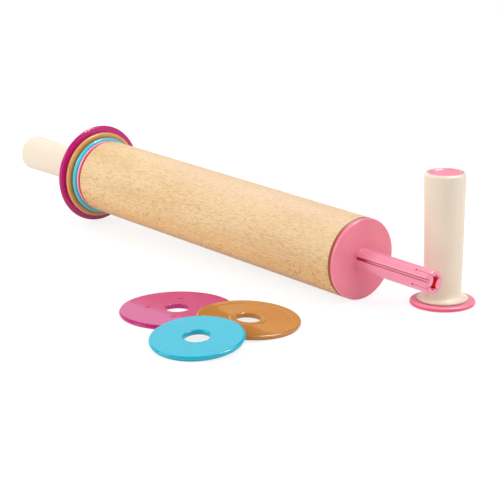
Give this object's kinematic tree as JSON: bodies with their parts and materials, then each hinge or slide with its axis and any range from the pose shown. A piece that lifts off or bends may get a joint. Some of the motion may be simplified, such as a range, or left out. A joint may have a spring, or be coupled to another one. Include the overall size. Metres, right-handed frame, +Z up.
{
  "type": "adjustable rolling pin",
  "caption": "Beech rolling pin with plastic end hubs, slide-on thickness discs and clip-on free-spinning handles; one end taken apart, its discs and handle laid beside it.",
  "frame": {"origin": "on the table, under the middle of the set's bounding box", "axes": "+X along the pin, towards the bare right-hand shaft; +Z up; -Y towards the loose discs"},
  "size_m": [0.4858, 0.244, 0.0955],
  "materials": {
    "barrel": "fine sanded",
    "blue_disc_left": "glossy",
    "blue_disc_right": "glossy",
    "brown_disc_left": "glossy",
    "brown_disc_right": "glossy",
    "handle_cap_left": "satin",
    "handle_cap_right": "satin",
    "handle_core_left": "satin",
    "handle_core_right": "satin",
    "handle_grip_left": "satin",
    "handle_grip_right": "satin",
    "hub_left": "satin",
    "hub_right": "satin",
    "magenta_disc_left": "glossy",
    "magenta_disc_right": "glossy"
  },
  "bodies": {
    "pin": {"barrel": "barrel", "hub_left": "hub_left", "hub_right": "hub_right"},
    "blue_left": {"blue_disc_left": "blue_disc_left"},
    "brown_left": {"brown_disc_left": "brown_disc_left"},
    "magenta_left": {"magenta_disc_left": "magenta_disc_left"},
    "handle_left": {"handle_core_left": "handle_core_left", "handle_cap_left": "handle_cap_left"},
    "grip_left": {"handle_grip_left": "handle_grip_left"},
    "handle_right": {"handle_core_right": "handle_core_right", "handle_cap_right": "handle_cap_right"},
    "grip_right": {"handle_grip_right": "handle_grip_right"},
    "magenta_right": {"magenta_disc_right": "magenta_disc_right"},
    "brown_right": {"brown_disc_right": "brown_disc_right"},
    "blue_right": {"blue_disc_right": "blue_disc_right"}
  },
  "joints": [
    {"name": "blue_left_slide", "type": "slide", "parent": "pin", "child": "blue_left", "axis": [-0.9994, 0, 0.0336], "range_m": [0, 0.072]},
    {"name": "brown_left_slide", "type": "slide", "parent": "blue_left", "child": "brown_left", "axis": [-0.9994, 0, 0.0336], "range_m": [0, 0.072]},
    {"name": "magenta_left_slide", "type": "slide", "parent": "brown_left", "child": "magenta_left", "axis": [-0.9994, 0, 0.0336], "range_m": [0, 0.072]},
    {"name": "handle_left_slide", "type": "slide", "parent": "magenta_left", "child": "handle_left", "axis": [-0.9994, 0, 0.0336], "range_m": [0, 0.072]},
    {"name": "grip_left_spin", "type": "hinge", "parent": "handle_left", "child": "grip_left", "pos_m": [-0.14707, 0.06307, 0.04066], "axis": [-0.9994, 0, 0.0336], "continuous": true},
    {"name": "handle_right_lift", "type": "slide", "parent": "pin", "child": "handle_right", "axis": [0, 0, 1], "range_m": [0, 0.1]},
    {"name": "grip_right_spin", "type": "hinge", "parent": "handle_right", "child": "grip_right", "pos_m": [0.21814, 0.09857, 0], "axis": [0, 0, 1], "continuous": true},
    {"name": "magenta_right_lift", "type": "slide", "parent": "pin", "child": "magenta_right", "axis": [0, 0, 1], "range_m": [0, 0.1]},
    {"name": "brown_right_lift", "type": "slide", "parent": "magenta_right", "child": "brown_right", "axis": [0, 0, 1], "range_m": [0, 0.1]},
    {"name": "blue_right_lift", "type": "slide", "parent": "brown_right", "child": "blue_right", "axis": [0, 0, 1], "range_m": [0, 0.1]}
  ]
}
